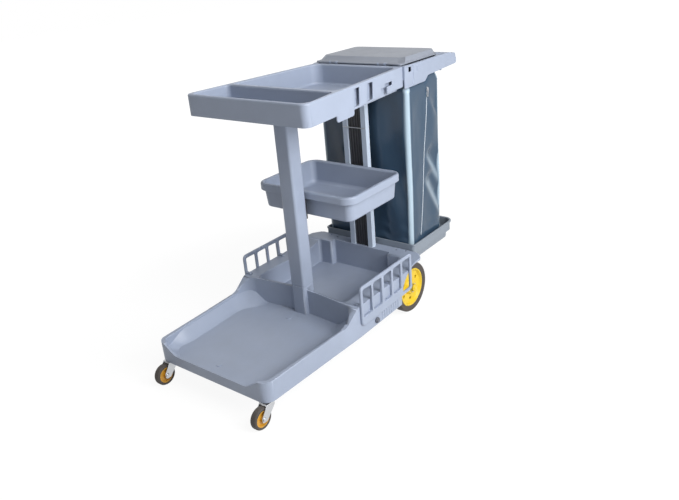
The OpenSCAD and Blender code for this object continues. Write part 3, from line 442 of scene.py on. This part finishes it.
def faults(obj, solid, reach):
    shape = obj.evaluated_get(bpy.context.evaluated_depsgraph_get())
    mesh = shape.to_mesh()
    mesh.calc_loop_triangles()
    places = []
    for small in mesh.loop_triangles:
        corners = [mesh.vertices[i].co.copy() for i in small.vertices]
        _, normal, _, gap = solid.find_nearest(sum(corners, Vector()) / 3)
        if small.area > SMALLEST and (small.normal.dot(normal) < TURNED or gap > reach):
            places.extend(corners)
    shape.to_mesh_clear()
    return places


def relax(obj, places, longest, share):
    spots = KDTree(len(places))
    for i, place in enumerate(places):
        spots.insert(place, i)
    spots.balance()
    weight = obj.data.attributes["bevel_weight_edge"].data
    for edge in obj.data.edges:
        a, b = (obj.data.vertices[i].co for i in edge.vertices)
        steps = 1 + int((b - a).length / BESIDE)
        gap = min(spots.find(a.lerp(b, i / steps))[2] for i in range(steps + 1))
        if gap < BESIDE and (b - a).length < longest:
            weight[edge.index].value *= share


def rounded_copy(node, slot, radius):
    bm = merged_copy(node)
    solid = BVHTree.FromBMesh(bm)
    weight = bm.edges.layers.float.new("bevel_weight_edge")
    widest = 0
    count = 0
    for edge in bm.edges:
        if len(edge.link_faces) != 2 or edge.calc_face_angle() < SHARP_OF.get(node, SHARP):
            continue
        wanted = radius(edge) if callable(radius) else radius
        free = min(room(edge, face) for face in edge.link_faces)
        given = min(wanted, THIN_SHARE * free)
        edge[weight] = given / LARGEST
        widest = max(widest, given)
        count += 1
    obj = piece(node + "_moulding", bm, FINISH.get(node, FINISH[slot]), BODY_OF[node])
    obj.data.set_sharp_from_angle(angle=SHARP)
    bevel = obj.modifiers.new("rounded edges", "BEVEL")
    bevel.limit_method = "WEIGHT"
    bevel.width = LARGEST
    bevel.segments = BEVEL_STEPS
    bevel.profile = 0.5
    bevel.use_clamp_overlap = False
    found = []
    for longest, share in MEND_PASSES:
        found.append(faults(obj, solid, REACH_SHARE * widest + REACH_LEAST))
        if not found[-1]:
            break
        relax(obj, found[-1], longest, share)
    obj.modifiers.new("flat faces", "WEIGHTED_NORMAL").keep_sharp = True
    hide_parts(node)
    print(node, "edges rounded", count, "faults before each mend", [len(f) // 3 for f in found])


# %% [markdown]
# Most mouldings have one radius all over. The base, the trays and the lid have a wide radius on their rims
# and a small one elsewhere. Each rule for these gives a range of heights in millimetres and a radius.

# %% Radii of the mouldings
PLAIN_EDGE = 0.0012


def middle(edge):
    return (edge.verts[0].co + edge.verts[1].co) / 2


def near_height(*rules):
    def radius(edge):
        height = middle(edge).z * 1000
        for low, high, size in rules:
            if low <= height <= high:
                return size
        return PLAIN_EDGE
    return radius


SLOT_OF = {part["node"]: part["material_slot"] for part in frame["record"]["subparts"]}
RADII = {
    "base": near_height((84, 85, 0.002), (106, 110, 0.0), (110, 120, 0.006), (120, 223, 0.005)),
    "column": 0.003,
    "top_tray": near_height((936, 939, 0.0055), (861, 878, 0.009)),
    "rear_frame": 0.0022,
    "lid": near_height((962, 964, 0.018), (944, 948, 0.0022)),
    "bag_ring": 0.002,
    "bag_tray": near_height((246, 248, 0.003), (237, 241, 0.0015), (172, 210, 0.005)),
    "post_near": 0.003,
    "post_far": 0.003,
    "back_panel": 0.001,
    "mid_tray": near_height((566, 569, 0.006), (475, 477, 0.014), (471, 473, 0.006)),
    "tray_bracket": 0.0012,
    "tray_hooks": 0.0012,
    "fence_near": 0.0036,
    "fence_far": 0.0036,
    "side_bumpers": 0.002,
    "axle_caps": 0.0015,
    "tyre_near": 0.001,
    "tyre_far": 0.001,
    "hub_near": 0.0016,
    "hub_far": 0.0016,
    "caster_cups": 0.002,
    "caster_fork_near": 0.0009,
    "caster_fork_far": 0.0009,
    "caster_axle_near": 0.001,
    "caster_axle_far": 0.001,
    "caster_hub_near": 0.001,
    "caster_hub_far": 0.001,
    "caster_tyre_near": 0.001,
    "caster_tyre_far": 0.001,
    "zip_slider": 0.0005,
    "rear_axle": 0.001,
    "post_wire": 0.0005,
}
for node, radius in RADII.items():
    rounded_copy(node, SLOT_OF[node], radius)

# %% [markdown]
# The walls of the platform run down into its floor in a wide, slightly hollow slope. The feet of the walls
# are found in the base itself and followed from one side of the column to the other. A grid is then bent
# along them into the slope. It is lower by the front lip, because the lip is low, and it runs out in the
# rear corners, because the rear wall stands upright. The slope meets the floor along a line of its own: in
# each corner that line is a large arc, so the slope is widest there. Each corner is given by the arc's
# centre, its radius and the way it faces.

# %% Slope round the platform floor
FLOOR_HIGH, COVE_STEPS, HOLLOW = 0.108, 8, 1.3
COVE_WIDE, COVE_HIGH = 0.036, 0.043
LIP_WIDE, LIP_HIGH = 0.014, 0.010
LIP_FULL, LIP_NONE = at(14, 0, 0).x, at(120, 0, 0).x
REAR_FULL, REAR_NONE = 0.015, 0.095
REAR_FROM, REAR_TO = at(395, 0, 0).x, at(440, 0, 0).x
COLUMN_HALF = 0.034
SUNK_WALL, SUNK_FLOOR = 0.0004, 0.0002
FOOT_STEP = 0.012
STEEP, FLAT_UP, LEVEL_SLACK, WALL_LEAST = 0.2, 0.9, 0.0003, 0.005
CORNERS = [(93, 151, 70, -1), (336, 130, 90, 1)]


def smooth(value, low, high):
    share = min(1, max(0, (value - low) / (high - low)))
    return share * share * (3 - 2 * share)


def wall_feet(bm):
    links = {}
    for edge in bm.edges:
        upright_faces = [f for f in edge.link_faces if abs(f.normal.z) < STEEP]
        walls = [f for f in upright_faces if max(v.co.z for v in f.verts) > FLOOR_HIGH + WALL_LEAST]
        floors = [f for f in edge.link_faces if f.normal.z > FLAT_UP]
        level = all(abs(v.co.z - FLOOR_HIGH) < LEVEL_SLACK for v in edge.verts)
        beside_column = abs(middle(edge).y) < COLUMN_HALF and middle(edge).x > REAR_TO
        if walls and floors and level and not beside_column:
            for vert in edge.verts:
                links.setdefault(vert, []).append((edge, walls[0].normal.copy()))
    return links


def follow(links):
    vert = next(v for v, near in links.items() if len(near) == 1)
    chain, passed = [], set()
    while True:
        inward = sum((normal for edge, normal in links[vert]), Vector()).normalized()
        chain.append((vert.co.copy(), inward))
        ahead = [edge for edge, normal in links[vert] if edge not in passed]
        if not ahead:
            return chain
        passed.add(ahead[0])
        vert = ahead[0].other_vert(vert)


def spread(chain, longest):
    places = [chain[0]]
    for (foot, inward), (next_foot, next_inward) in zip(chain, chain[1:]):
        steps = math.ceil((next_foot - foot).length / longest)
        for i in range(1, steps + 1):
            share = i / steps
            places.append((foot.lerp(next_foot, share), inward.lerp(next_inward, share).normalized()))
    return places


def floor_line(foot, inward, wide):
    place = foot + inward * wide
    for x, y, r, ahead in CORNERS:
        centre = at(x, math.copysign(y, place.y), 0)
        away = Vector((place.x - centre.x, place.y - centre.y, 0))
        if away.x * ahead > 0 and away.y * place.y > 0 and away.length > r / 1000:
            place = Vector((centre.x, centre.y, place.z)) + away.normalized() * r / 1000
    return place


solid = merged_copy("base")
chain = spread(follow(wall_feet(solid)), FOOT_STEP)
widest = max(abs(foot.y) for foot, inward in chain)
solid.free()
bm = bmesh.new()
bmesh.ops.create_grid(bm, x_segments=len(chain) - 1, y_segments=COVE_STEPS, size=0.5)
for vert in bm.verts:
    foot, inward = chain[round((vert.co.x + 0.5) * (len(chain) - 1))]
    down = vert.co.y + 0.5
    by_lip = 1 - smooth(foot.x, LIP_FULL, LIP_NONE)
    from_side = smooth(widest - abs(foot.y), REAR_FULL, REAR_NONE)
    by_rear = smooth(foot.x, REAR_FROM, REAR_TO) * from_side
    wide = COVE_WIDE + (LIP_WIDE - COVE_WIDE) * by_lip
    high = (COVE_HIGH + (LIP_HIGH - COVE_HIGH) * by_lip) * (1 - by_rear)
    across = floor_line(foot, inward, wide) - foot
    vert.co = foot + across * down - inward * SUNK_WALL * (1 - down)
    vert.co.z += high * (1 - down) ** HOLLOW - SUNK_FLOOR * down
bm.normal_update()
bmesh.ops.reverse_faces(bm, faces=[f for f in bm.faces if f.normal.z < 0])
piece("platform_cove", bm, FINISH["body"], BODY_OF["base"])
print("feet of the platform walls", len(chain))

# %% [markdown]
# The bag is coated cloth: dark blue-grey, glossy, with a faint weave pressed through the coating. Gloss on
# slack cloth shows every dent, so most of its look comes from the folds in the mesh. A binding runs down
# the four corners, and its pale colour is partly a painted highlight. A pale painted highlight also lies
# on the slopes of the slanting folds. The mesh says where by two attributes, because no coordinate follows
# the sewing or the folds.

# %% Coated cloth
vinyl, tree, skin, place = finish("coated_cloth")
CLOTH, BINDING_HIGHLIGHT, PAINTED_SHEEN = shade(56, 76, 96), shade(184, 204, 218), shade(150, 168, 182)
BINDING_HIGHLIGHT_SHARE, PAINTED_SHEEN_SHARE = 0.85, 0.62
CLOTH_DARK, CLOTH_PALE = 0.90, 1.08
texture = use(tree, grain, place, {"Scale": 1500.0})
marks = use(tree, scuffs, place)
tone = add(tree, "ShaderNodeMix", data_type="RGBA")
tone.inputs[6].default_value = scaled(CLOTH, CLOTH_DARK)
tone.inputs[7].default_value = scaled(CLOTH, CLOTH_PALE)
tree.links.new(texture.outputs["Clouds"], tone.inputs[0])
band = add(tree, "ShaderNodeAttribute", attribute_name="binding_and_highlight")
# Binding and painted highlight: the raised corner binding is tinted far paler than the cloth, to stand for
# the shine along the corners.
tone = tint(tree, band.outputs["Fac"], BINDING_HIGHLIGHT_SHARE, tone.outputs[2], BINDING_HIGHLIGHT)
# Painted highlight: the slopes of the slanting folds are tinted pale where they should shine.
painted_sheen_mask = add(tree, "ShaderNodeAttribute", attribute_name="wear_and_painted_sheen")
tone = tint(tree, painted_sheen_mask.outputs["Fac"], PAINTED_SHEEN_SHARE, tone, PAINTED_SHEEN)
tree.links.new(tone, skin.inputs["Base Color"])
gloss = add(tree, "ShaderNodeMapRange", {"To Min": 0.20, "To Max": 0.30})
threads = add(tree, "ShaderNodeTexWave", {"Scale": 420.0}, bands_direction="Z")
weave = add(tree, "ShaderNodeMath", {1: 0.02}, operation="MULTIPLY_ADD")
bump = add(tree, "ShaderNodeBump", {"Strength": 0.08, "Distance": 0.00004})
wire(tree, (marks.outputs["Mask"], gloss.inputs["Value"]),
     (gloss.outputs["Result"], skin.inputs["Roughness"]),
     (place, threads.inputs["Vector"]), (threads.outputs["Fac"], weave.inputs[0]),
     (texture.outputs["Height"], weave.inputs[2]), (weave.outputs[0], bump.inputs["Height"]),
     (bump.outputs["Normal"], skin.inputs["Normal"]))
skin.inputs["Specular IOR Level"].default_value = 0.3
FINISH["vinyl"] = vinyl
FINISH["zip_tape"] = moulded("zip_teeth", shade(208, 218, 228), 0.4, scale=1500.0, worn=0.1)
print("cloth", vinyl.name)

# %% [markdown]
# The bag hangs from a ring under the lid. Its hem folds over the ring, the neck goes down through the
# deck, and below the rails it widens and hangs to the tray. The shell is lofted from rounded rectangles:
# a flat grid is made first, and each of its rows becomes one such loop. Each row is height, front, rear,
# half width and corner radius.

# %% Rows of the bag
HEM = [(897.6, 928.4, 1166.6, 197.2, 27), (901.4, 928.2, 1166.8, 197.4, 27), (903.2, 930.5, 1164.5, 195, 26),
       (903.4, 934, 1161, 190, 25), (902.6, 938, 1157, 184, 24), (900, 940, 1155.4, 181.6, 24)]
NECK = [(893, 940, 1155.2, 181.6, 24), (886, 940, 1155, 181.8, 24), (878, 939, 1155, 183, 24),
        (870, 937.5, 1155.4, 186, 24), (862, 935, 1156, 192, 23), (855, 932.5, 1156, 198.5, 22),
        (849, 931, 1155.5, 202.5, 20), (844, 930.6, 1155, 204.2, 18)]
BODY_TOP, BODY_LOW, BODY_ROWS = 838.0, 226.0, 92
BODY_FRONT, BODY_REAR, BODY_HALF, BODY_CORNER = 930.5, 1157.0, 204.8, 16
BELLY_OUT, BELLY_HIGH, BELLY_TALL = 7.0, 450, 120
body_rows = []
for i in range(BODY_ROWS):
    z = BODY_TOP + (BODY_LOW - BODY_TOP) * i / (BODY_ROWS - 1)
    belly = BELLY_OUT * math.exp(-((z - BELLY_HIGH) / BELLY_TALL) ** 2)
    body_rows.append((z, BODY_FRONT, BODY_REAR + belly, BODY_HALF, BODY_CORNER))
FOOT = [(219, 930.8, 1154, 203.6, 16), (213, 931.5, 1153.5, 201, 17), (206, 932.5, 1152.5, 198, 18),
        (197, 933, 1152, 196.8, 20), (188, 935, 1150, 195, 22), (182.5, 940, 1145, 190, 24),
        (180.2, 950, 1135, 180, 24), (180, 975, 1110, 155, 20), (180, 1005, 1080, 125, 14),
        (180, 1035, 1050, 95, 6)]
BAG_ROWS = HEM + NECK + body_rows + FOOT
print("rows", len(BAG_ROWS))

# %% [markdown]
# Slack cloth folds where it is pulled. The front hangs in broad upright waves, and the foot buckles where
# the cloth stands on the tray. The side behind the zip has slanting ridges: each falls away steeply to the
# rear, so that its slope is seen at a low angle and shines a little, and a painted highlight makes that
# slope paler still. A cloth simulation would fold it by chance, so these folds are sums of waves, in
# millimetres. Along the zip the cloth is held flat, so the slider can run on it. Noise that is the same in
# each run adds the small dents. Each slanting ridge is two ends, a size and a width.

# %% Folds of the bag
ZIP_TOP, ZIP_END = (1068.0, 838.0), (997.0, 261.0)
SLANTS = [((1040, 575), (1150, 430), 13.0, 40), ((1028, 480), (1150, 285), 13.0, 46),
          ((1062, 800), (1150, 690), 5.0, 26)]
SLANT_FULL, SLANT_SIDE = 13, 60
WAVE_SIZE, WAVE_LONG, FRONT_PHASE, REAR_PHASE = 4.2, 150, 5.6, 2.4
SIDE_WAVE = 1.6
DENT_LARGE, DENT_SMALL = 2.4, 1.1
BUCKLE_SIZE, BUCKLE_FADE = 3.6, 52
ZIP_FLAT, ZIP_MOST, ZIP_SUNK = 20, 5, 0.4
ZIP_ABOVE, ZIP_BELOW = -0.02, 1.04
SLANT_RISE = 0.3
DECK, FOLD_LOW = 850, 213
SIDEWAYS = 0.7
FOLD_OUT, FOLD_IN = 6.0, -14.0
SHOULDER_LIFT, LIFT_FROM, LIFT_TO = 20.0, 1050.0, 1085.0


def zip_x(z):
    share = (ZIP_TOP[1] - z) / (ZIP_TOP[1] - ZIP_END[1])
    return ZIP_TOP[0] + (ZIP_END[0] - ZIP_TOP[0]) * min(ZIP_BELOW, max(ZIP_ABOVE, share))


def ridge(across, size, wide):
    if across < 0:
        return SLANT_RISE * size * smooth(across, -SLANT_SIDE, 0)
    if across < wide:
        return size * (SLANT_RISE - (1 + SLANT_RISE) * across / wide)
    return -size * (1 - smooth(across, wide, wide + SLANT_SIDE))


def slant_fold(x, z):
    total, slope = 0, 0
    for (xa, za), (xb, zb), size, wide in SLANTS:
        length = math.hypot(xb - xa, zb - za)
        along = ((x - xa) * (xb - xa) + (z - za) * (zb - za)) / length
        across = ((z - za) * (xb - xa) - (x - xa) * (zb - za)) / length
        ends = smooth(along, -10, 40) * (1 - smooth(along, length - 40, length + 25))
        total += ends * ridge(across, size, wide)
        # The second value marks each ridge's slope, where the pale painted highlight goes.
        face = smooth(across, -8, 16) * (1 - smooth(across, wide - 26, wide + 6))
        slope += ends * (size / SLANT_FULL) ** 3 * face
    return total, slope


def fold(x, y, z, facing):
    held = smooth(DECK - z, 0, 70) * smooth(z, 205, 255)
    dents = DENT_LARGE * noise.noise((x / 85, y / 85, z / 150))
    dents += DENT_SMALL * noise.noise((x / 34, y / 34 + 9, z / 60))
    if abs(facing.x) > SIDEWAYS:
        sway = y / WAVE_LONG + 0.35 * math.sin(z / 190 + 0.6)
        phase = FRONT_PHASE if facing.x < 0 else REAR_PHASE
        wave = WAVE_SIZE * math.sin(2 * math.pi * sway + phase)
        wave *= 0.55 + 0.45 * math.sin((z - 200) / 205)
    else:
        wave = slant_fold(x, z)[0] + SIDE_WAVE * math.sin(x / 26 + z / 240)
    crumple = math.sin(z / 8.5 + 5 * noise.noise((x / 70, y / 70, 3.3)))
    buckle = BUCKLE_SIZE * crumple * math.exp(-(z - BODY_LOW) / BUCKLE_FADE)
    push = (wave + dents) * held + buckle * smooth(z, 214, 240)
    if facing.y < -SIDEWAYS:
        clear = 1 - math.exp(-((x - zip_x(z)) / ZIP_FLAT) ** 2)
        push = min(push, ZIP_MOST) * clear - ZIP_SUNK
    return min(FOLD_OUT, max(FOLD_IN, push))


def shoulder_lift(x, z):
    reach = smooth(z, 800, 850) * (1 - smooth(z, 870, 893))
    return SHOULDER_LIFT * reach * smooth(x, LIFT_FROM, LIFT_TO)


print("slanting ridges", len(SLANTS))

# %% [markdown]
# A grid becomes the shell: its rows are the rows listed above, and its columns go once round the bag from the
# middle of the rear. `loop_point` walks along the straight sides and the corner arcs. Then the seam is closed
# by merging, and the bottom by filling its rim. One smoothing softens what the waves left angular, and
# Solidify gives the cloth its thickness inwards.

# %% Loft the bag
AROUND = 228
CLOTH_THICK, BINDING_THICK = 0.0012, 0.7
SEAM = 0.00005


def loop_point(x0, x1, half, r, share):
    straight = [half - r, x1 - x0 - 2 * r, 2 * (half - r), x1 - x0 - 2 * r, half - r]
    arc = r * math.pi / 2
    left = share * (sum(straight) + 4 * arc)
    centres = [(x1 - r, half - r), (x0 + r, half - r), (x0 + r, r - half), (x1 - r, r - half)]
    starts = [(x1, 0), (x1 - r, half), (x0, half - r), (x0 + r, -half), (x1, r - half)]
    for k in range(5):
        turn = k * math.pi / 2
        ahead = Vector((-math.sin(turn), math.cos(turn), 0))
        out = Vector((math.cos(turn), math.sin(turn), 0))
        if left <= straight[k] or k == 4:
            return Vector((*starts[k], 0)) + ahead * left, out, 0
        left -= straight[k]
        if left <= arc:
            angle = turn + left / r
            out = Vector((math.cos(angle), math.sin(angle), 0))
            return Vector((*centres[k], 0)) + out * r, out, 1 - abs(2 * left / arc - 1)
        left -= arc


bm = bmesh.new()
bmesh.ops.create_grid(bm, x_segments=AROUND, y_segments=len(BAG_ROWS) - 1, size=0.5)
binding_and_highlight = bm.verts.layers.float.new("binding_and_highlight")
wear_and_painted_sheen = bm.verts.layers.float.new("wear_and_painted_sheen")
for vert in bm.verts:
    row = round((0.5 - vert.co.y) * (len(BAG_ROWS) - 1))
    z, x0, x1, half, r = BAG_ROWS[row]
    flat, out, corner = loop_point(x0, x1, half, r, vert.co.x + 0.5)
    push = fold(flat.x, flat.y, z, out) if corner == 0 and FOLD_LOW < z < DECK else 0
    band = smooth(corner, 0.05, 0.35) * smooth(860 - z, 0, 8) * smooth(z, 190, 200)
    # This attribute marks the corner binding, whose pale colour is partly a painted highlight.
    vert[binding_and_highlight] = band
    # This attribute holds the painted highlight on the slopes of the slanting folds.
    vert[wear_and_painted_sheen] = slant_fold(flat.x, z)[1] if out.y < -SIDEWAYS and corner == 0 else 0
    vert.co = at(*(flat + out * (push + BINDING_THICK * band))[:2], z + shoulder_lift(flat.x, z))
bmesh.ops.remove_doubles(bm, verts=bm.verts, dist=SEAM)
rim = [e for e in bm.edges if e.is_boundary and e.verts[0].co.z < 0.3]
bmesh.ops.holes_fill(bm, edges=rim, sides=0)
below_deck = [v for v in bm.verts if v.co.z < DECK / 1000]
bmesh.ops.smooth_vert(bm, verts=below_deck, factor=0.5, use_axis_x=True, use_axis_y=True)
bmesh.ops.recalc_face_normals(bm, faces=bm.faces)
bag = piece("waste_bag", bm, FINISH["vinyl"], "chassis")
wall = bag.modifiers.new("cloth thickness", "SOLIDIFY")
wall.thickness = CLOTH_THICK
wall.offset = -1
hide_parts("bag", "bag_collar")
print("bag faces", len(bag.data.polygons))

# %% [markdown]
# The zip runs down the near side of the bag. From a few metres it reads as one thin pale line, made of two
# rows of teeth on a tape of the bag's own cloth. One tooth is a plain small block, made again at each step
# along the tape, because there are hundreds of them.

# %% Zip tape and teeth
ZIP_STEPS, ZIP_PITCH = 96, 3.0
TAPE_WIDE, TAPE_OUT, TAPE_DROP, TAPE_THICK = 14, 205.9, 0.9, 0.0008
TOOTH, TOOTH_SIDE, TOOTH_OUT = (2.7, 1.3, 1.4), 1.0, 206.3
SWAY_SIZE, SWAY_TURNS = 2.6, 9.5
zip_run = Vector((ZIP_END[0] - ZIP_TOP[0], 0, ZIP_END[1] - ZIP_TOP[1]))
zip_along = zip_run.normalized()
zip_across = Vector((-zip_along.z, 0, zip_along.x))


def zip_point(share, across, out):
    sway = SWAY_SIZE * math.sin(share * SWAY_TURNS + 0.5) * smooth(share, 0.06, 0.2)
    point = Vector((ZIP_TOP[0], -out, ZIP_TOP[1])) + zip_run * share + zip_across * (across + sway)
    return at(*point)


bm = bmesh.new()
bmesh.ops.create_grid(bm, x_segments=4, y_segments=ZIP_STEPS, size=0.5)
for vert in bm.verts:
    edge = abs(vert.co.x) * 2
    vert.co = zip_point(vert.co.y + 0.5, vert.co.x * TAPE_WIDE, TAPE_OUT - TAPE_DROP * edge ** 4)
bmesh.ops.recalc_face_normals(bm, faces=bm.faces)
tape = piece("zip_tape", bm, FINISH["vinyl"], "chassis")
thick = tape.modifiers.new("tape thickness", "SOLIDIFY")
thick.thickness = TAPE_THICK

bm = bmesh.new()
count = int(zip_run.length / ZIP_PITCH)
slant = Matrix.Rotation(math.atan2(zip_run.x, zip_run.z), 3, "Y")
for i in range(count):
    for hand in (-1, 1):
        made = bmesh.ops.create_cube(bm, size=0.001)
        share = (i + 0.5 + 0.25 * hand) / count
        bmesh.ops.scale(bm, vec=TOOTH, verts=made["verts"])
        bmesh.ops.rotate(bm, cent=(0, 0, 0), verts=made["verts"], matrix=slant)
        bmesh.ops.translate(bm, vec=zip_point(share, TOOTH_SIDE * hand, TOOTH_OUT), verts=made["verts"])
teeth = piece("zip_teeth", bm, FINISH["zip_tape"], "chassis")
for face in teeth.data.polygons:
    face.use_smooth = False
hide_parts("bag_zip")
print("zip teeth", count * 2)

# %% [markdown]
# What is left as packed is hidden or tiny: screws, pins, washers and bushes. These keep their solids and
# only take their finish.

# %% Finishes of the plain nodes
SOFT = ("bag", "bag_collar", "bag_zip")
kept = []
for node, obj in frame["nodes"].items():
    if node in RADII or node in SOFT:
        continue
    kept.append(node)
    for slot in obj.material_slots:
        slot.material = FINISH[SLOT_OF[node]]
print("kept as packed", kept)

# %% [markdown]
# Last, the colours are shown through the Standard view transform.

# %% Colour view
bpy.context.scene.view_settings.view_transform = "Standard"
